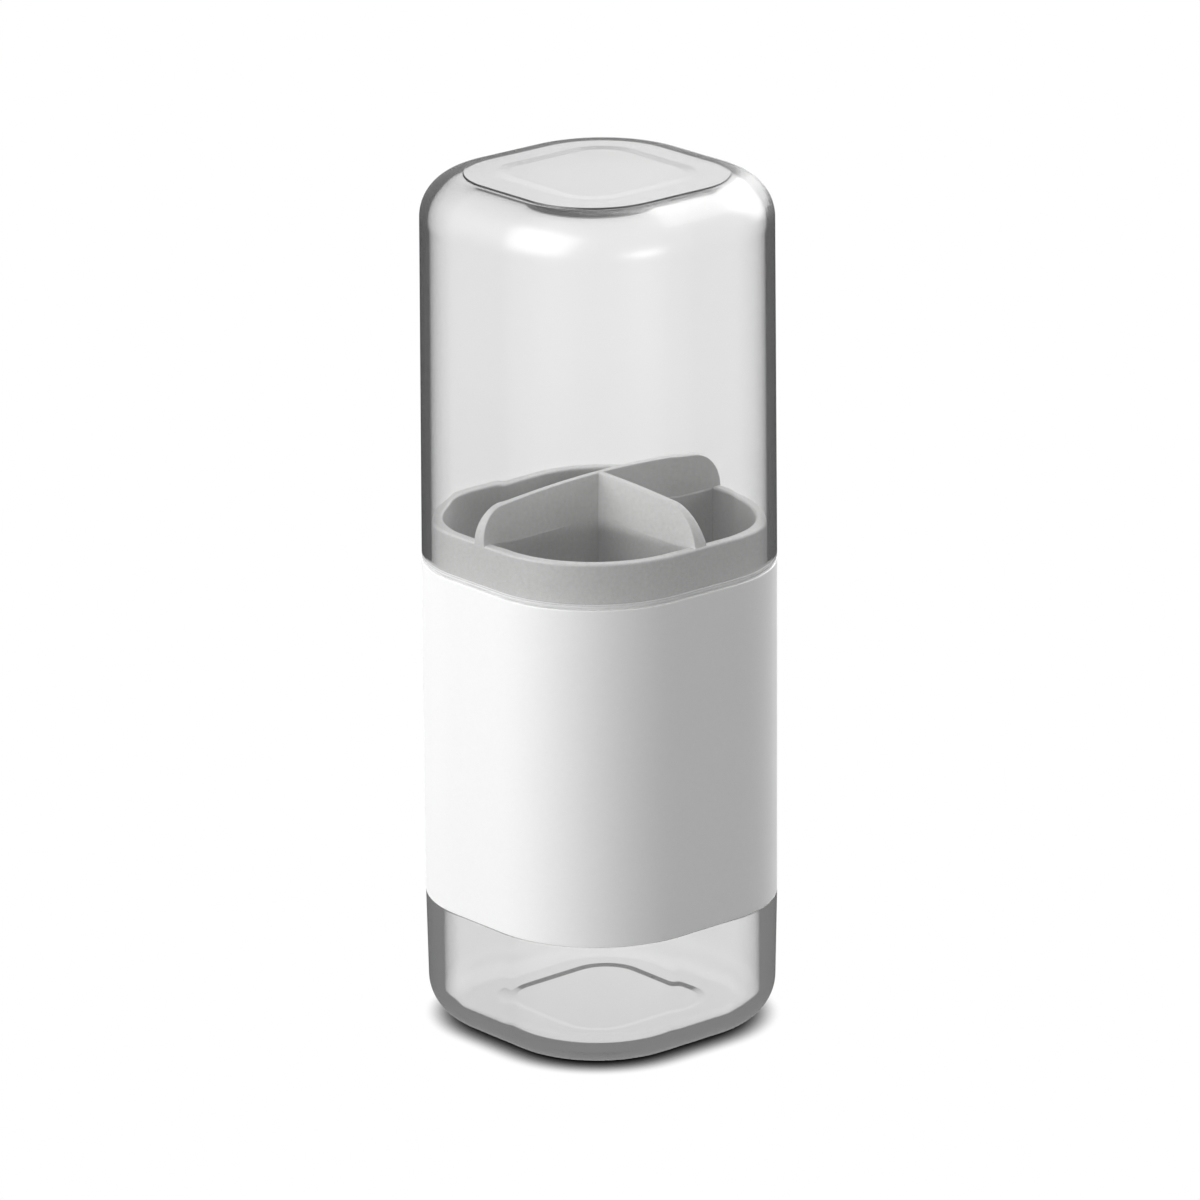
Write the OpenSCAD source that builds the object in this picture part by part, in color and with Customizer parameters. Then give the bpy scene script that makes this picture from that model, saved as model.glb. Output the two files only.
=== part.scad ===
// Toothbrush holder: a clear cup, a white sleeve round its neck, a grey divider and a clear cover.
// It stands on z = 0 with its axis on Z. Every wall runs round the same square with round corners.

/* [Body] */
// Width of the body across its flats
body_w = 75; // [66:1:90]
// Radius of the four upright corners, seen from above
corner_r = 28.8; // [26:0.2:32]
// Radius of the rolled edge at the closed ends of the cover and the cup
end_r = 10; // [7:0.5:12]

/* [Cup] */
// Height of the clear foot that shows below the sleeve
foot_h = 31; // [24:1:45]
// Wall of the cup's neck inside the sleeve
neck_wall = 1.8; // [1.4:0.1:3]
// Thickness of the cup's floor
floor_t = 4.65; // [3.2:0.05:7]
// Radius where the cup's inner wall meets its floor
floor_r = 4.7; // [2:0.1:8]
// Width of the floor's border, in to the middle of the slope into its square recess
floor_border = 14.8; // [12:0.2:18]
// Depth of the square recess in the floor
floor_recess = 0.25; // [0.1:0.05:1]
// Width of the slope into the floor's recess
floor_slope = 1.8; // [0.4:0.2:4]
// How far the foot draws in from its shoulder down to its rolled edge
foot_draft = 0.6; // [0:0.1:1]

/* [Sleeve] */
// Height of the sleeve
sleeve_h = 81.3; // [60:0.1:110]
// Wall of the sleeve
sleeve_wall = 2.3; // [1.8:0.1:3.4]

/* [Divider] */
// Height of the collar above the sleeve
collar_rise = 10.55; // [6:0.05:16]
// Depth of the collar inside the mouth of the sleeve
plug_depth = 3.1; // [2:0.1:12]
// Wall of the collar
collar_wall = 2.6; // [1.6:0.1:3.4]
// Thickness of the two crossing walls up to the collar's rim
divider_foot_t = 3.6; // [2:0.1:5]
// Thickness of the two crossing walls at their top
divider_top_t = 1.5; // [1.2:0.1:4]
// Height of the crossing walls above the collar, at the middle
tab_rise = 10.15; // [6:0.05:16]
// Radius of the slightly crowned top of the crossing walls
crown_r = 250; // [120:10:600]
// Radius of the full wall's round ends
full_end_r = 8; // [4:0.5:12]
// Radius of the half wall's round end
half_end_r = 12.5; // [6:0.5:14]

/* [Cover] */
// Height of the cover from its open edge to its closed end, without the pad
cover_h = 91.4; // [60:0.1:130]
// Wall of the cover
cover_wall = 2.2; // [1.9:0.1:3]
// Thickness of the cover's closed end
cover_end_t = 2.4; // [1.6:0.1:4]
// Radius inside the cover's rolled edge
cover_in_r = 8.4; // [6:0.1:11]
// How far the cover draws in from its open edge up to its rolled edge
cover_draft = 0.5; // [0:0.05:0.9]
// Radius of the rounding outside the cover's open edge
cover_foot_r = 1.2; // [0.4:0.1:1.3]
// Width of the lead-in bevel inside the cover's open edge
lead_in_w = 0.6; // [0.2:0.1:0.7]
// Height of the lead-in bevel inside the cover's open edge
lead_in_h = 1.6; // [0.4:0.1:3]
// Height of the raised pad on the closed end
pad_rise = 0.4; // [0.3:0.1:2]
// Flat strip between the rolled edge and the pad
pad_margin = 0.15; // [0.1:0.05:2]
// Width of the pad's border, in to the middle of the slope into its square recess
pad_border = 8.8; // [5:0.2:12]
// Depth of the square recess in the pad
pad_recess = 0.1; // [0.05:0.05:0.3]
// Width of the slope into the pad's recess
pad_slope = 3; // [0.4:0.2:5]

/* [Fits and edges] */
// Gap on each side between the sleeve's bore and what slides in it
fit_gap = 0.1; // [0.05:0.05:0.4]
// Gap on each side between the cover's bore and the collar
cover_gap = 0.2; // [0.1:0.05:0.6]
// Width of the small bevels on open edges
edge_break = 0.3; // [0.1:0.05:0.5]
// Radius of the collar's rounded rim
rim_r = 0.6; // [0.2:0.1:0.8]

/* [Hidden] */

$fn = 96;
arc_steps = 12;   // straight steps in a quarter of a large rolled edge
rim_steps = 4;    // straight steps in a quarter of a small rounding
crown_steps = 8;  // straight steps along half of the crowned top
quarter = 90;

// Half length of the flat stretch on each side, which is also where the corner centres stand
half_flat = body_w / 2 - corner_r;

// Heights of the seats
sleeve_top = foot_h + sleeve_h;
neck_top = sleeve_top - plug_depth;
rim_top = sleeve_top + collar_rise;
tab_top = rim_top + tab_rise;
cover_top = sleeve_top + cover_h;
pad_top = cover_top + pad_rise;

// Distances out from a corner's centre
neck_x = corner_r - sleeve_wall - fit_gap;
bore_x = neck_x - neck_wall;
collar_x = corner_r - max(sleeve_wall + fit_gap, cover_wall + cover_gap);
pad_x = corner_r - cover_draft - end_r - pad_margin;
pad_recess_x = pad_x - pad_border;
floor_recess_x = bore_x - floor_border;

// Inside of the cover, out from a corner's centre and up to its closed end
cover_in_x = corner_r - cover_wall;
cover_in_top = cover_top - cover_end_t;

// Span of the crossing walls from the middle to the collar's outer face
divider_reach = half_flat + collar_x;

clear_plastic = [0.86, 0.88, 0.89, 0.45];
white_plastic = [0.96, 0.96, 0.95];
grey_plastic = [0.72, 0.72, 0.71];

// Points of a round stretch about centre, from angle a to angle b
function arc(centre, r, a, b, steps) =
    [for (i = [0:steps]) centre + r * [cos(a + (b - a) * i / steps), sin(a + (b - a) * i / steps)]];

// Carries a wall's section round the square: the child's x runs out from a corner's centre
module round_the_square() {
    for (side = [0:3]) rotate(side * quarter) {
        translate([half_flat, half_flat, 0]) rotate_extrude(angle = quarter) children();
        translate([half_flat, half_flat, 0]) rotate([quarter, 0, 0])
            linear_extrude(2 * half_flat) children();
    }
}

// Fills the square between the four corner centres
module middle(low, high) {
    translate([-half_flat, -half_flat, low]) cube([2 * half_flat, 2 * half_flat, high - low]);
}

// Clear cup: a foot flush with the sleeve and a neck that the sleeve slides over
module base_cup() {
    foot_x = corner_r - foot_draft;
    section = concat(
        [[0, 0]],
        arc([foot_x - end_r, end_r], end_r, -quarter, 0, arc_steps),
        [[corner_r, foot_h],
         [neck_x, foot_h],
         [neck_x, neck_top - edge_break],
         [neck_x - edge_break, neck_top],
         [bore_x + edge_break, neck_top],
         [bore_x, neck_top - edge_break]],
        arc([bore_x - floor_r, floor_t + floor_r], floor_r, 0, -quarter, arc_steps),
        [[floor_recess_x + floor_slope / 2, floor_t],
         [floor_recess_x - floor_slope / 2, floor_t - floor_recess],
         [0, floor_t - floor_recess]]);
    color(clear_plastic) union() {
        round_the_square() polygon(section);
        middle(0, floor_t - floor_recess);
    }
}

// White sleeve: a straight tube that seats on the foot's shoulder
module sleeve() {
    inner_x = corner_r - sleeve_wall;
    section = [
        [inner_x + edge_break, foot_h],
        [corner_r - edge_break, foot_h],
        [corner_r, foot_h + edge_break],
        [corner_r, sleeve_top - edge_break],
        [corner_r - edge_break, sleeve_top],
        [inner_x + edge_break, sleeve_top],
        [inner_x, sleeve_top - edge_break],
        [inner_x, foot_h + edge_break]];
    color(white_plastic) round_the_square() polygon(section);
}

// One crossing wall seen from its side, from the middle to the collar's outer face
module tab_outline(end_radius) {
    lean = asin((divider_reach - end_radius) / (crown_r - end_radius)); // where the crown meets the round end
    end_z = tab_top - crown_r + (crown_r - end_radius) * cos(lean);
    polygon(concat(
        [[0, neck_top], [divider_reach, neck_top]],
        arc([divider_reach - end_radius, end_z], end_radius, 0, quarter - lean, arc_steps),
        arc([0, tab_top - crown_r], crown_r, quarter - lean, quarter, crown_steps)));
}

// Wedge that thins a crossing wall from the rim up to its top
module tab_taper() {
    foot_y = divider_foot_t / 2;
    top_y = divider_top_t / 2;
    rotate([quarter, 0, quarter]) linear_extrude(divider_reach) polygon([
        [-foot_y, neck_top], [foot_y, neck_top], [foot_y, rim_top],
        [top_y, tab_top], [-top_y, tab_top], [-foot_y, rim_top]]);
}

// One crossing wall, from the middle out along +X
module tab(end_radius) {
    intersection() {
        translate([0, divider_foot_t / 2, 0]) rotate([quarter, 0, 0])
            linear_extrude(divider_foot_t) tab_outline(end_radius);
        tab_taper();
    }
}

// Grey divider: a collar that stands on the neck, with walls that part it into three
module divider_insert() {
    inner_x = collar_x - collar_wall;
    section = concat(
        [[inner_x, neck_top], [collar_x, neck_top]],
        arc([collar_x - rim_r, rim_top - rim_r], rim_r, 0, quarter, rim_steps),
        arc([inner_x + rim_r, rim_top - rim_r], rim_r, quarter, 2 * quarter, rim_steps));
    color(grey_plastic) union() {
        round_the_square() polygon(section);
        tab(half_end_r);
        for (turn = [-quarter, quarter]) rotate(turn) tab(full_end_r);
    }
}

// Clear cover: a tall cup turned over, flush with the sleeve, with a raised pad on its closed end
module cover() {
    draw_x = corner_r - cover_draft;
    section = concat(
        [[cover_in_x + lead_in_w, sleeve_top]],
        arc([corner_r - cover_foot_r, sleeve_top + cover_foot_r], cover_foot_r, -quarter, 0, rim_steps),
        arc([draw_x - end_r, cover_top - end_r], end_r, 0, quarter, arc_steps),
        [[pad_x, cover_top],
         [pad_x, pad_top],
         [pad_recess_x + pad_slope / 2, pad_top],
         [pad_recess_x - pad_slope / 2, pad_top - pad_recess],
         [0, pad_top - pad_recess],
         [0, cover_in_top]],
        arc([cover_in_x - cover_draft - cover_in_r, cover_in_top - cover_in_r],
            cover_in_r, quarter, 0, arc_steps),
        [[cover_in_x, sleeve_top + lead_in_h]]);
    color(clear_plastic) union() {
        round_the_square() polygon(section);
        middle(cover_in_top, pad_top - pad_recess);
    }
}

base_cup();
sleeve();
divider_insert();
cover();
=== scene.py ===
import math

import bmesh
import bpy
from mathutils import Matrix, Vector


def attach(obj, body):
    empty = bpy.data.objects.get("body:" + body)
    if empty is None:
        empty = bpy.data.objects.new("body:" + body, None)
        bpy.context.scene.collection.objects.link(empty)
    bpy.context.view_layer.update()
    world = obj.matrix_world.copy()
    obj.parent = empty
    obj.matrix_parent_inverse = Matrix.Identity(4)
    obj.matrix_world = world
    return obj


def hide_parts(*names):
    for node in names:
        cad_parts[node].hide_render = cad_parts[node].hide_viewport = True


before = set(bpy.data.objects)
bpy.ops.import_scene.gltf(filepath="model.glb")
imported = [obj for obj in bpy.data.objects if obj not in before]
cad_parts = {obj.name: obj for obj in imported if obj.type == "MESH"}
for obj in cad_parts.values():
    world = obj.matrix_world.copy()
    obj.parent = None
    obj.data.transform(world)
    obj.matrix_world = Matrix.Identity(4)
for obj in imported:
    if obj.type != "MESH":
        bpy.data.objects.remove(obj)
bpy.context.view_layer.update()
mm = 0.001
print("frame loaded:", ", ".join(sorted(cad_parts)))

# camera
shot = dict(
    azimuth=49.275, elevation=18.139, roll=-0.383,  # degrees
    distance=2008.2 * mm, aimHeight=101.556 * mm, aimRight=0.083 * mm,
    lens=260.3, sensor=36, near=50 * mm, far=30000 * mm,
)


def makeCamera(shot):
    a = math.radians(shot["azimuth"])
    e = math.radians(shot["elevation"])
    right = Vector((math.cos(a), math.sin(a), 0))
    back = Vector((math.sin(a) * math.cos(e), -math.cos(a) * math.cos(e), math.sin(e)))
    aim = Vector((0, 0, shot["aimHeight"])) + right * shot["aimRight"]
    turned = Matrix((right, back.cross(right), back)).transposed()
    turned = turned @ Matrix.Rotation(math.radians(shot["roll"]), 3, "Z")
    lens = bpy.data.cameras.new("camera")
    lens.lens = shot["lens"]
    lens.sensor_width = shot["sensor"]
    lens.clip_start = shot["near"]
    lens.clip_end = shot["far"]
    camera = bpy.data.objects.new("camera", lens)
    camera.matrix_world = Matrix.Translation(aim + back * shot["distance"]) @ turned.to_4x4()
    bpy.context.scene.collection.objects.link(camera)
    bpy.context.scene.camera = camera


makeCamera(shot)
print("camera placed")

# the square with round corners that all four mouldings share
body = dict(
    width=75 * mm, cornerRadius=28.8 * mm, cornerSteps=44, sideSteps=16,
    footTop=31 * mm, sleeveTop=112.3 * mm, sharpAngle=math.radians(40),
)
outer = body["cornerRadius"]  # sections are drawn outwards from a corner's centre
halfFlat = body["width"] / 2 - outer

rounding = dict(
    large=3 * mm, largeSteps=60, smallSteps=12,  # steps in half a turn, above and below the large radius
    spare=0.5 * mm, leastSpare=0.1 * mm, room=4,  # short steps beside an arc, where there is room for them
)


def roundedSection(corners, closed, r=rounding):
    # each corner is (out, height, radius): the radius becomes an arc
    # the short steps beside it keep the flats flat
    made = []
    count = len(corners)
    for i, (x, z, radius) in enumerate(corners):
        here = Vector((x, z))
        if not closed and i in (0, count - 1):
            made.append(here)
            continue
        before = Vector(corners[i - 1][:2]) - here
        after = Vector(corners[(i + 1) % count][:2]) - here
        roomBefore = before.length
        roomAfter = after.length
        before.normalize()
        after.normalize()
        half = before.angle(after) / 2
        tangent = radius / math.tan(half)
        centre = here + (before + after).normalized() * radius / math.sin(half)
        arm = here + before * tangent - centre
        turn = math.pi - 2 * half
        perHalfTurn = r["largeSteps"] if radius > r["large"] else r["smallSteps"]
        steps = max(2, math.ceil(turn / math.pi * perHalfTurn))
        spare = min(r["spare"], radius / 2 + r["leastSpare"])
        if before.x * after.y - before.y * after.x > 0:
            turn = -turn
        if roomBefore > tangent + r["room"] * spare:
            made.append(here + before * (tangent + spare))
        for k in range(steps + 1):
            c = math.cos(turn * k / steps)
            s = math.sin(turn * k / steps)
            made.append(centre + Vector((arm.x * c - arm.y * s, arm.x * s + arm.y * c)))
        if roomAfter > tangent + r["room"] * spare:
            made.append(here + after * (tangent + spare))
    return made + made[:1] if closed else made


# shared node helpers
def plug(links, source, target):
    if isinstance(source, bpy.types.NodeSocket):
        links.new(source, target)
    else:
        target.default_value = source


def calculator(nodes, links, clamp):
    def calc(operation, *values):
        node = nodes.new("ShaderNodeMath")
        node.operation = operation
        node.use_clamp = clamp
        for value, target in zip(values, node.inputs):
            plug(links, value, target)
        return node.outputs[0]

    return calc


def sweepTree():
    # carries a section round the square
    # fills the middle where the section ends on the corner's centre
    tree = bpy.data.node_groups.new("roundSquareSweep", "GeometryNodeTree")
    links = tree.links
    calc = calculator(tree.nodes, links, False)
    face = tree.interface
    face.new_socket(name="Section", in_out="INPUT", socket_type="NodeSocketGeometry")
    sockets = {}
    for name, kind in (
        ("Half Flat", "Float"), ("Corner Steps", "Int"), ("Side Steps", "Int"),
        ("Fill Middle", "Bool"), ("Sharp Angle", "Float"), ("Material", "Material"),
    ):
        sockets[name] = face.new_socket(name=name, in_out="INPUT", socket_type="NodeSocket" + kind).identifier
    face.new_socket(name="Shell", in_out="OUTPUT", socket_type="NodeSocketGeometry")

    def add(kind, **settings):
        node = tree.nodes.new(kind)
        for key, value in settings.items():
            setattr(node, key, value)
        return node

    given = add("NodeGroupInput").outputs
    section = given["Section"]
    flat = given["Half Flat"]
    counted = add("GeometryNodeAttributeDomainSize", component="MESH")
    plug(links, section, counted.inputs["Geometry"])
    count = counted.outputs["Point Count"]
    perSide = calc("ADD", given["Corner Steps"], given["Side Steps"])
    grid = add("GeometryNodeMeshGrid")
    plug(links, calc("MULTIPLY_ADD", perSide, 4, 1), grid.inputs["Vertices X"])
    plug(links, count, grid.inputs["Vertices Y"])

    # each grid point is a point of the section at one step round the square
    index = add("GeometryNodeInputIndex").outputs[0]
    row = calc("FLOOR", calc("DIVIDE", calc("ADD", index, 0.5), count))
    column = calc("SUBTRACT", index, calc("MULTIPLY", row, count))
    side = calc("FLOOR", calc("DIVIDE", calc("ADD", row, 0.5), perSide))
    step = calc("SUBTRACT", row, calc("MULTIPLY", side, perSide))
    alongCorner = calc("MINIMUM", calc("DIVIDE", step, given["Corner Steps"]), 1)
    pastCorner = calc("SUBTRACT", step, given["Corner Steps"])
    alongSide = calc("MAXIMUM", calc("DIVIDE", pastCorner, given["Side Steps"]), 0)
    angle = calc("MULTIPLY", calc("ADD", side, alongCorner), math.pi / 2)

    def cornerCentre(number):
        turned = calc("MULTIPLY", calc("ADD", number, 0.5), math.pi / 2)
        reach = calc("MULTIPLY", flat, math.sqrt(2))
        return [calc("MULTIPLY", calc(f, turned), reach) for f in ("COSINE", "SINE")]

    def sectionPoint(number):
        picked = add("GeometryNodeSampleIndex", data_type="FLOAT_VECTOR", domain="POINT")
        plug(links, section, picked.inputs["Geometry"])
        plug(links, add("GeometryNodeInputPosition").outputs[0], picked.inputs["Value"])
        plug(links, number, picked.inputs["Index"])
        return picked.outputs[0]

    here = cornerCentre(side)
    there = cornerCentre(calc("ADD", side, 1))
    out = add("ShaderNodeSeparateXYZ")
    plug(links, sectionPoint(column), out.inputs[0])
    place = add("ShaderNodeCombineXYZ")
    for k, f in enumerate(("COSINE", "SINE")):
        centre = calc("MULTIPLY_ADD", calc("SUBTRACT", there[k], here[k]), alongSide, here[k])
        plug(links, calc("MULTIPLY_ADD", calc(f, angle), out.outputs["X"], centre), place.inputs[k])
    plug(links, out.outputs["Z"], place.inputs["Z"])
    swept = add("GeometryNodeSetPosition")
    plug(links, grid.outputs["Mesh"], swept.inputs["Geometry"])
    plug(links, place.outputs[0], swept.inputs["Position"])

    joined = add("GeometryNodeJoinGeometry")
    links.new(swept.outputs[0], joined.inputs[0])
    for last in (False, True):
        patch = add("GeometryNodeMeshGrid")
        for size in ("Size X", "Size Y"):
            plug(links, calc("MULTIPLY", flat, 2), patch.inputs[size])
        for number in ("Vertices X", "Vertices Y"):
            plug(links, calc("ADD", given["Side Steps"], 1), patch.inputs[number])
        lifted = add("GeometryNodeTransform")
        plug(links, patch.outputs["Mesh"], lifted.inputs["Geometry"])
        plug(links, sectionPoint(calc("SUBTRACT", count, 1) if last else 0), lifted.inputs["Translation"])
        shown = lifted.outputs[0]
        if not last:
            flipped = add("GeometryNodeFlipFaces")
            plug(links, shown, flipped.inputs[0])
            shown = flipped.outputs[0]
        choice = add("GeometryNodeSwitch", input_type="GEOMETRY")
        plug(links, given["Fill Middle"], choice.inputs["Switch"])
        plug(links, shown, choice.inputs["True"])
        links.new(choice.outputs[0], joined.inputs[0])

    merged = add("GeometryNodeMergeByDistance")
    plug(links, joined.outputs[0], merged.inputs["Geometry"])
    merged.inputs["Distance"].default_value = 0.001 * mm
    smooth = add("GeometryNodeSetShadeSmooth", domain="FACE")
    plug(links, merged.outputs[0], smooth.inputs["Geometry"])
    bend = add("GeometryNodeInputMeshEdgeAngle").outputs["Unsigned Angle"]
    sharp = add("GeometryNodeSetShadeSmooth", domain="EDGE")
    plug(links, smooth.outputs[0], sharp.inputs["Geometry"])
    plug(links, calc("GREATER_THAN", bend, given["Sharp Angle"]), sharp.inputs["Selection"])
    sharp.inputs["Shade Smooth"].default_value = False
    real = add("GeometryNodeRealizeInstances")
    plug(links, sharp.outputs[0], real.inputs[0])
    painted = add("GeometryNodeSetMaterial")
    plug(links, real.outputs[0], painted.inputs["Geometry"])
    plug(links, given["Material"], painted.inputs["Material"])
    plug(links, painted.outputs[0], add("NodeGroupOutput").inputs["Shell"])
    return tree, sockets


sweep, sweepSockets = sweepTree()


def sweptShell(name, corners, closed, material):
    points = roundedSection(corners, closed)
    line = bpy.data.meshes.new(name)
    line.from_pydata([(p.x, 0, p.y) for p in points], [(k, k + 1) for k in range(len(points) - 1)], [])
    piece = bpy.data.objects.new(name, line)
    bpy.context.scene.collection.objects.link(piece)
    modifier = piece.modifiers.new("sweep", "NODES")
    modifier.node_group = sweep
    for key, value in (
        ("Half Flat", halfFlat), ("Corner Steps", body["cornerSteps"]), ("Side Steps", body["sideSteps"]),
        ("Fill Middle", not closed), ("Sharp Angle", body["sharpAngle"]), ("Material", material),
    ):
        modifier[sweepSockets[key]] = value
    shell = bpy.data.meshes.new_from_object(piece.evaluated_get(bpy.context.evaluated_depsgraph_get()))
    piece.modifiers.remove(modifier)
    piece.data = shell
    shell.name = name
    shell.materials.clear()
    shell.materials.append(material)
    for f in shell.polygons:
        f.material_index = 0
    bpy.data.meshes.remove(line)
    return piece


# materials
def newMaterial(name):
    material = bpy.data.materials.new(name)
    material.use_nodes = True
    nodes = material.node_tree.nodes
    nodes.clear()
    return material, nodes, material.node_tree.links, nodes.new("ShaderNodeOutputMaterial")


def mixShaders(nodes, links, factor, first, second):
    mix = nodes.new("ShaderNodeMixShader")
    for source, target in zip((factor, first, second), mix.inputs):
        links.new(source, target)
    return mix.outputs[0]


def mixColours(nodes, links, factor, first, second):
    mix = nodes.new("ShaderNodeMix")
    mix.data_type = "RGBA"
    links.new(factor, mix.inputs[0])
    mix.inputs[6].default_value = first
    mix.inputs[7].default_value = second
    return mix.outputs[2]


def grey(value):
    return (value, value, value, 1)


clearFinish = dict(
    ior=1.5,
    levelMirror=0.22, leastMirror=0.06, mirrorRoughness=0.33,  # the outside mirrors most on level faces
    paintedEdgeShade=0.65, paintedEdgeShadeFrom=0.026,  # painted shade: upright faces let less through where they turn away, darkening the edge bands, in part standing for absorption along the longer path
    satinGrey=0.9, satinShare=0.75, satinBlur=0.2 * mm,
)
coverClear = dict(
    tint=0.96, inner=0.07,  # what a surface lets through, and the grey of its first mirror inside, a painted shade that darkens the edge bands
    lampShade=0.88, softShade=1,  # what lamps and soft light send through it
    satinTop=113.5 * mm,  # the open edge is satin up to here
    thick=False,
)
# the cup's inner grey is the same painted shade on its edge bands
cupClear = dict(tint=0.935, inner=0.18, lampShade=0.6, softShade=0.6, satinTop=0, thick=True)


def clearPlastic(name, look, finish=clearFinish):
    material, nodes, links, output = newMaterial(name)
    calc = calculator(nodes, links, True)
    place = nodes.new("ShaderNodeTexCoord")
    across = nodes.new("ShaderNodeSeparateXYZ")
    links.new(place.outputs["Normal"], across.inputs[0])
    level = calc("ABSOLUTE", across.outputs["Z"])  # 1 on a level face, 0 on an upright one
    inside = nodes.new("ShaderNodeNewGeometry").outputs["Backfacing"]
    fresnel = nodes.new("ShaderNodeFresnel")
    fresnel.inputs["IOR"].default_value = finish["ior"]
    turned = fresnel.outputs[0]
    share = nodes.new("ShaderNodeMix")  # how much is mirrored, outside and inside
    links.new(inside, share.inputs[0])
    upward = calc("MULTIPLY", turned, level)
    links.new(calc("MULTIPLY_ADD", upward, finish["levelMirror"], finish["leastMirror"]), share.inputs[2])
    links.new(turned, share.inputs[3])

    path = nodes.new("ShaderNodeLightPath").outputs
    later = calc("GREATER_THAN", path["Glossy Depth"], 0.5)  # 1 once the light has met a mirror
    # painted shade on the edge bands, where upright faces turn away
    paintedEdgeDarkening = calc("MULTIPLY_ADD", turned, finish["paintedEdgeShade"], -finish["paintedEdgeShadeFrom"])
    paintedEdgeDarkening = calc("MULTIPLY", paintedEdgeDarkening, calc("SUBTRACT", 1, later))
    paintedEdgeDarkening = calc("MULTIPLY", paintedEdgeDarkening, calc("SUBTRACT", 1, level))
    bent = nodes.new("ShaderNodeBsdfRefraction")
    bent.inputs["IOR"].default_value = finish["ior"]
    bent.inputs["Roughness"].default_value = 0
    links.new(mixColours(nodes, links, paintedEdgeDarkening, grey(look["tint"]), grey(0)), bent.inputs["Color"])
    outsideMirror = nodes.new("ShaderNodeBsdfGlossy")
    outsideMirror.inputs["Color"].default_value = grey(1)
    outsideMirror.inputs["Roughness"].default_value = finish["mirrorRoughness"]
    insideMirror = nodes.new("ShaderNodeBsdfGlossy")  # painted shade: only the first mirror inside is darkened, to the inner grey, giving the dark edge bands
    insideMirror.inputs["Roughness"].default_value = 0
    links.new(mixColours(nodes, links, later, grey(look["inner"]), grey(1)), insideMirror.inputs["Color"])
    mirror = mixShaders(nodes, links, inside, outsideMirror.outputs[0], insideMirror.outputs[0])
    shader = mixShaders(nodes, links, share.outputs[0], bent.outputs[0], mirror)

    rays = [(path["Is Diffuse Ray"], look["softShade"]), (path["Is Shadow Ray"], look["lampShade"])]
    if look["thick"]:  # light mirrored in a thick foot isn't trapped there, so its edge looks even
        entered = calc("LESS_THAN", path["Transmission Depth"], 1.5)
        rays.insert(0, (calc("MULTIPLY", entered, later), look["tint"]))
    for ray, shade in rays:
        through = nodes.new("ShaderNodeBsdfTransparent")
        through.inputs["Color"].default_value = grey(shade)
        shader = mixShaders(nodes, links, ray, shader, through.outputs[0])
    if look["satinTop"]:
        height = nodes.new("ShaderNodeSeparateXYZ")
        links.new(place.outputs["Object"], height.inputs[0])
        where = nodes.new("ShaderNodeMapRange")
        where.inputs["From Min"].default_value = look["satinTop"] + finish["satinBlur"] / 2
        where.inputs["From Max"].default_value = look["satinTop"] - finish["satinBlur"] / 2
        where.inputs["To Max"].default_value = finish["satinShare"]
        links.new(height.outputs["Z"], where.inputs["Value"])
        satin = nodes.new("ShaderNodeBsdfDiffuse")
        satin.inputs["Color"].default_value = grey(finish["satinGrey"])
        shader = mixShaders(nodes, links, where.outputs[0], shader, satin.outputs[0])
    links.new(shader, output.inputs["Surface"])
    return material


mouldFinish = dict(ior=1.5, roughnessSpread=0.05, grainDetail=3, cloudSize=3, cloudDetail=2)
sleeveWhite = dict(colour=(0.9, 0.9, 0.9), mottle=0.015, roughness=0.45, grain=2500, grainDepth=0.01 * mm)
dividerGrey = dict(colour=(0.62, 0.62, 0.615), mottle=0.14, roughness=0.55, grain=3500, grainDepth=0.04 * mm)


def mouldedPlastic(name, look, finish=mouldFinish):
    material, nodes, links, output = newMaterial(name)
    place = nodes.new("ShaderNodeTexCoord").outputs["Object"]
    grain = nodes.new("ShaderNodeTexNoise")
    grain.inputs["Scale"].default_value = look["grain"]
    grain.inputs["Detail"].default_value = finish["grainDetail"]
    links.new(place, grain.inputs["Vector"])
    shine = nodes.new("ShaderNodeMapRange")
    shine.inputs["To Min"].default_value = look["roughness"] - finish["roughnessSpread"]
    shine.inputs["To Max"].default_value = look["roughness"] + finish["roughnessSpread"]
    links.new(grain.outputs[0], shine.inputs["Value"])
    bump = nodes.new("ShaderNodeBump")
    bump.inputs["Strength"].default_value = 1
    bump.inputs["Distance"].default_value = look["grainDepth"]
    links.new(grain.outputs[0], bump.inputs["Height"])
    cloud = nodes.new("ShaderNodeTexNoise")  # faint unevenness of the pigment
    cloud.inputs["Scale"].default_value = look["grain"] / finish["cloudSize"]
    cloud.inputs["Detail"].default_value = finish["cloudDetail"]
    links.new(place, cloud.inputs["Vector"])
    darker = (*(c * (1 - look["mottle"]) for c in look["colour"]), 1)
    lighter = (*(min(1, c * (1 + look["mottle"])) for c in look["colour"]), 1)
    skin = nodes.new("ShaderNodeBsdfPrincipled")
    skin.inputs["IOR"].default_value = finish["ior"]
    links.new(mixColours(nodes, links, cloud.outputs[0], darker, lighter), skin.inputs["Base Color"])
    links.new(shine.outputs[0], skin.inputs["Roughness"])
    links.new(bump.outputs[0], skin.inputs["Normal"])
    links.new(skin.outputs[0], output.inputs["Surface"])
    return material


coverPlastic = clearPlastic("coverPlastic", coverClear)
cupPlastic = clearPlastic("cupPlastic", cupClear)
whitePlastic = mouldedPlastic("whitePlastic", sleeveWhite)
greyPlastic = mouldedPlastic("greyPlastic", dividerGrey)
print("materials made")

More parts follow.
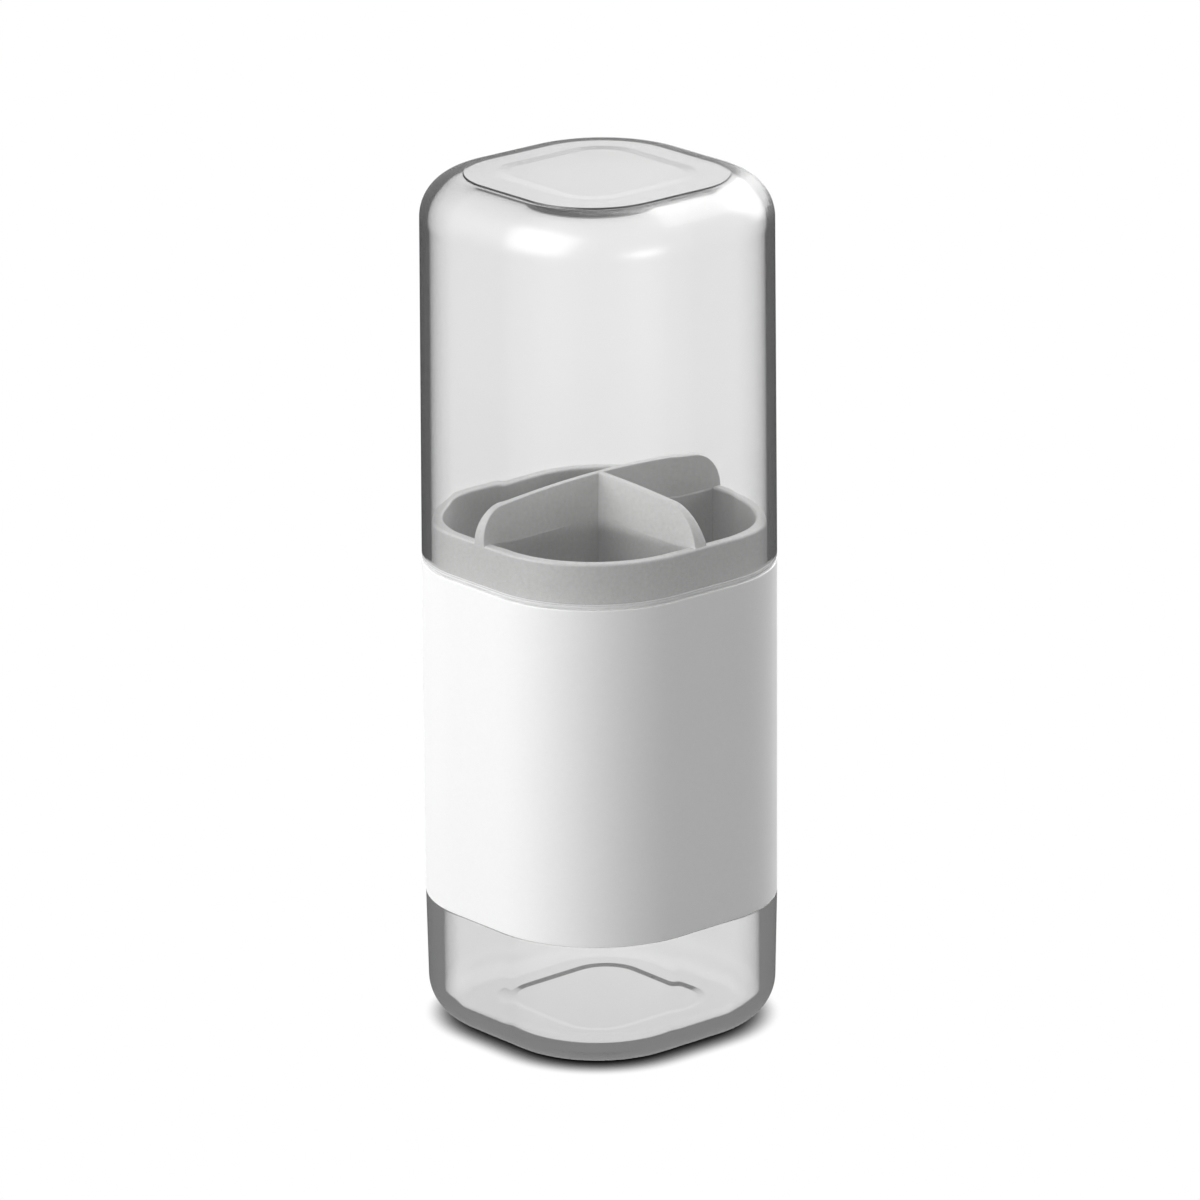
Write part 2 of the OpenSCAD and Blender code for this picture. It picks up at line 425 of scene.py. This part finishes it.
# clear cup
cup = dict(
    endRadius=10 * mm, draft=0.6 * mm, shoulderEdge=0.2 * mm,
    neckTop=109.2 * mm, neckOut=26.4 * mm, boreOut=24.6 * mm, neckEdge=0.4 * mm,
    floor=4.65 * mm, floorRadius=4.7 * mm,
    recessOut=9.8 * mm, recessDepth=0.25 * mm, recessSlope=1.8 * mm, recessRound=2 * mm,
)
cupShell = sweptShell("cup", [
    (0, 0, 0),
    (outer - cup["draft"], 0, cup["endRadius"]),
    (outer, body["footTop"], cup["shoulderEdge"]),
    (cup["neckOut"], body["footTop"], cup["shoulderEdge"]),
    (cup["neckOut"], cup["neckTop"], cup["neckEdge"]),
    (cup["boreOut"], cup["neckTop"], cup["neckEdge"]),
    (cup["boreOut"], cup["floor"], cup["floorRadius"]),
    (cup["recessOut"] + cup["recessSlope"] / 2, cup["floor"], cup["recessRound"]),
    (cup["recessOut"] - cup["recessSlope"] / 2, cup["floor"] - cup["recessDepth"], cup["recessRound"]),
    (0, cup["floor"] - cup["recessDepth"], 0),
], False, cupPlastic)
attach(cupShell, "base_cup")
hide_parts("base_cup")

# white sleeve
sleeve = dict(wall=2.3 * mm, edge=0.15 * mm)
sleeveShell = sweptShell("sleeve_tube", [
    (outer - sleeve["wall"], body["footTop"], sleeve["edge"]),
    (outer, body["footTop"], sleeve["edge"]),
    (outer, body["sleeveTop"], sleeve["edge"]),
    (outer - sleeve["wall"], body["sleeveTop"], sleeve["edge"]),
], True, whitePlastic)
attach(sleeveShell, "sleeve")
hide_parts("sleeve")

# grey divider
divider = dict(
    foot=109.2 * mm, rim=122.85 * mm, collarOut=26.4 * mm, collarWall=2.6 * mm,
    rimEdge=0.6 * mm, footEdgeIn=0.2 * mm, footEdgeOut=0.3 * mm,
    wall=1.5 * mm, wallFoot=3.6 * mm, wallTop=133 * mm,  # the crossing walls
    crown=250 * mm, endRadius=8 * mm, halfEndRadius=12.5 * mm,
    inset=0.01 * mm, sunk=1 * mm,  # their ends stay inside the collar, deeper below the rim
    endSteps=24, crownSteps=12,
    wallEdge=0.3 * mm, wallEdgeSteps=4, edgeAngle=1, nearEdge=0.5 * mm,
)


def wallOutline(d, start, end):
    # a crossing wall seen from its side, from the middle out: a crowned top that runs into a round end
    reach = halfFlat + d["collarOut"] - d["inset"]
    hidden = reach - d["collarWall"] / 2
    ledge = d["rim"] - d["sunk"]
    outline = [(start, d["foot"]), (hidden, d["foot"]), (hidden, ledge), (reach, ledge)]
    inner = d["crown"] - end
    lean = math.asin((reach - end) / inner)
    middle = Vector((inner * math.sin(lean), d["wallTop"] - d["crown"] + inner * math.cos(lean)))
    low = math.asin((d["rim"] - middle.y) / end)
    for k in range(d["endSteps"] + 1):
        a = low + (math.pi / 2 - lean - low) * k / d["endSteps"]
        outline.append((middle.x + end * math.cos(a), middle.y + end * math.sin(a)))
    for k in range(d["crownSteps"] - 1, -1, -1):
        a = lean * k / d["crownSteps"]
        outline.append((max(start, d["crown"] * math.sin(a)), d["wallTop"] - d["crown"] * (1 - math.cos(a))))
    return outline


def onWallEdge(e, d):
    one, two = e.verts
    if min(one.co.z, two.co.z) <= d["rim"] - d["nearEdge"]:
        return False
    return e.calc_face_angle(0) > d["edgeAngle"] and abs(one.co.y - two.co.y) < d["nearEdge"]


def addWall(made, d, turn, start, end):
    part = bmesh.new()
    face = part.faces.new([part.verts.new((x, -1, z)) for x, z in wallOutline(d, start, end)])
    for grown in bmesh.ops.extrude_face_region(part, geom=[face])["geom"]:
        if isinstance(grown, bmesh.types.BMVert):
            grown.co.y = 1
    bmesh.ops.bisect_plane(
        part, geom=part.verts[:] + part.edges[:] + part.faces[:], dist=1e-7,
        plane_co=(0, 0, d["rim"]), plane_no=(0, 0, 1),
    )
    for v in part.verts:  # the wall thins from the rim up
        rise = max(0, (v.co.z - d["rim"]) / (d["wallTop"] - d["rim"]))
        v.co.y *= (d["wallFoot"] + (d["wall"] - d["wallFoot"]) * rise) / 2
    bmesh.ops.recalc_face_normals(part, faces=part.faces)
    soft = [e for e in part.edges if onWallEdge(e, d)]
    bmesh.ops.bevel(
        part, geom=soft, offset=d["wallEdge"], segments=d["wallEdgeSteps"], profile=0.5, affect="EDGES",
    )
    part.transform(Matrix.Rotation(math.radians(turn), 4, "Z"))
    held = bpy.data.meshes.new("wall")
    part.to_mesh(held)
    made.from_mesh(held)
    bpy.data.meshes.remove(held)
    part.free()


collarShell = sweptShell("divider", [
    (divider["collarOut"] - divider["collarWall"], divider["foot"], divider["footEdgeIn"]),
    (divider["collarOut"], divider["foot"], divider["footEdgeOut"]),
    (divider["collarOut"], divider["rim"], divider["rimEdge"]),
    (divider["collarOut"] - divider["collarWall"], divider["rim"], divider["rimEdge"]),
], True, greyPlastic)
joined = bmesh.new()
joined.from_mesh(collarShell.data)
for turn, start, end in (
    (0, -divider["wall"] / 2, divider["halfEndRadius"]),  # the half wall
    (90, 0, divider["endRadius"]),
    (-90, 0, divider["endRadius"]),
):
    addWall(joined, divider, turn, start, end)
for f in joined.faces:
    f.smooth = True
for e in joined.edges:
    e.smooth = len(e.link_faces) == 2 and e.calc_face_angle(0) < body["sharpAngle"]
joined.to_mesh(collarShell.data)
joined.free()
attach(collarShell, "divider_insert")
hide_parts("divider_insert")

# clear cover
cover = dict(
    top=203.7 * mm, wall=2.2 * mm, endThickness=2.4 * mm, draft=0.5 * mm,
    endRadius=10 * mm, innerRadius=8.4 * mm,
    leadIn=1.6 * mm, leadDepth=0.6 * mm, leadRound=0.2 * mm, lipRound=0.15 * mm, footRadius=1.2 * mm,
    padOut=18.15 * mm, padTop=204.1 * mm, padEdge=0.1 * mm, padFoot=0.1 * mm, padFootRound=0.05 * mm,
    recessOut=9.35 * mm, recessDepth=0.1 * mm, recessSlope=3 * mm, recessRound=8 * mm,
)
coverBore = outer - cover["wall"]
coverCeiling = cover["top"] - cover["endThickness"]
coverRecess = cover["padTop"] - cover["recessDepth"]
coverShell = sweptShell("cover_shell", [
    (0, coverCeiling, 0),
    (coverBore - cover["draft"], coverCeiling, cover["innerRadius"]),
    (coverBore, body["sleeveTop"] + cover["leadIn"], cover["leadRound"]),
    (coverBore + cover["leadDepth"], body["sleeveTop"], cover["lipRound"]),
    (outer, body["sleeveTop"], cover["footRadius"]),
    (outer - cover["draft"], cover["top"], cover["endRadius"]),
    (cover["padOut"] + cover["padFoot"], cover["top"], cover["padFootRound"]),
    (cover["padOut"], cover["padTop"], cover["padEdge"]),
    (cover["recessOut"] + cover["recessSlope"] / 2, cover["padTop"], cover["recessRound"]),
    (cover["recessOut"] - cover["recessSlope"] / 2, coverRecess, cover["recessRound"]),
    (0, coverRecess, 0),
], False, coverPlastic)
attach(coverShell, "cover")
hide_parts("cover")
print("pieces made")

# floor
ground = dict(
    half=6000 * mm, squares=8, drop=0.1 * mm, grey=0.3,
    # how far the painted shade beside the pieces reaches, and how dark it gets
    shadeReach=5.2 * mm, shadeFrom=0.03, shadeSamples=16,
)
floorMesh = bpy.data.meshes.new("floor")
plane = bmesh.new()
bmesh.ops.create_grid(plane, x_segments=ground["squares"], y_segments=ground["squares"], size=ground["half"])
bmesh.ops.translate(plane, verts=plane.verts, vec=(0, 0, -ground["drop"]))
plane.to_mesh(floorMesh)
plane.free()
floor = bpy.data.objects.new("floor", floorMesh)
bpy.context.scene.collection.objects.link(floor)


def mirroredOrBent(nodes, links, path):
    return calculator(nodes, links, False)("MAXIMUM", path["Is Glossy Ray"], path["Is Transmission Ray"])


def floorPaint(ground):
    # white to the camera but for a painted shade beside what stands on it, taken from ambient occlusion,
    # white in gloss and through clear plastic
    material, nodes, links, output = newMaterial("floorPaint")
    path = nodes.new("ShaderNodeLightPath").outputs
    matt = nodes.new("ShaderNodeBsdfDiffuse")
    matt.inputs["Color"].default_value = grey(ground["grey"])
    # painted shade: ambient occlusion near the pieces darkens the white the camera sees
    near = nodes.new("ShaderNodeAmbientOcclusion")
    near.inputs["Distance"].default_value = ground["shadeReach"]
    near.samples = ground["shadeSamples"]
    deeper = nodes.new("ShaderNodeMapRange")
    deeper.interpolation_type = "SMOOTHSTEP"
    deeper.inputs["From Min"].default_value = ground["shadeFrom"]
    links.new(near.outputs["AO"], deeper.inputs["Value"])
    seen = nodes.new("ShaderNodeEmission")
    links.new(deeper.outputs[0], seen.inputs["Strength"])
    clean = nodes.new("ShaderNodeEmission")
    clean.inputs["Color"].default_value = grey(1)
    unseen = mixShaders(nodes, links, mirroredOrBent(nodes, links, path), matt.outputs[0], clean.outputs[0])
    paint = mixShaders(nodes, links, path["Is Camera Ray"], unseen, seen.outputs[0])
    links.new(paint, output.inputs["Surface"])
    return material


floorMesh.materials.append(floorPaint(ground))

# world and lamps
studio = dict(ambient=0.06, lampDistance=1200 * mm, lampAim=130 * mm)


def makeWorld(studio):
    world = bpy.data.worlds.new("studio")
    world.use_nodes = True
    bpy.context.scene.world = world
    nodes = world.node_tree.nodes
    links = world.node_tree.links
    nodes.clear()
    path = nodes.new("ShaderNodeLightPath").outputs
    calc = calculator(nodes, links, False)
    seen = calc("MAXIMUM", path["Is Camera Ray"], mirroredOrBent(nodes, links, path))
    dim = nodes.new("ShaderNodeBackground")
    dim.inputs["Color"].default_value = grey(1)
    dim.inputs["Strength"].default_value = studio["ambient"]
    white = nodes.new("ShaderNodeBackground")
    white.inputs["Color"].default_value = grey(1)
    shown = mixShaders(nodes, links, seen, dim.outputs[0], white.outputs[0])
    links.new(shown, nodes.new("ShaderNodeOutputWorld").inputs["Surface"])


def softBox(name, azimuth, elevation, width, height, power, shine):
    # azimuth turns from -Y towards +X, as seen from the object; a shine lamp only shows in gloss
    a = math.radians(azimuth)
    e = math.radians(elevation)
    towards = Vector((math.sin(a) * math.cos(e), -math.cos(a) * math.cos(e), math.sin(e)))
    lamp = bpy.data.lights.new(name, "AREA")
    lamp.shape = "RECTANGLE"
    lamp.size = width
    lamp.size_y = height
    lamp.energy = power
    holder = bpy.data.objects.new(name, lamp)
    place = Matrix.Translation(Vector((0, 0, studio["lampAim"])) + towards * studio["lampDistance"])
    holder.matrix_world = place @ towards.to_track_quat("Z", "Y").to_matrix().to_4x4()
    holder.visible_transmission = False
    holder.visible_diffuse = not shine
    holder.visible_glossy = shine
    bpy.context.scene.collection.objects.link(holder)


makeWorld(studio)
softBox("key", -40, 30, 1.2, 0.85, 9.4, False)
softBox("low", 14, 2, 1.3, 0.12, 7.5, False)
softBox("top", 0, 84, 0.9, 0.9, 8, False)
softBox("rear", 175, 20, 1.4, 0.7, 9.8, False)
softBox("keyShine", -8, 31, 1.4, 1.25, 25, True)
softBox("rearShine", 190, 28, 1.3, 1.05, 33, True)
softBox("sideShine", 96, 6, 0.7, 0.12, 4, True)
bpy.context.scene.view_settings.view_transform = "Standard"
print("studio lit")
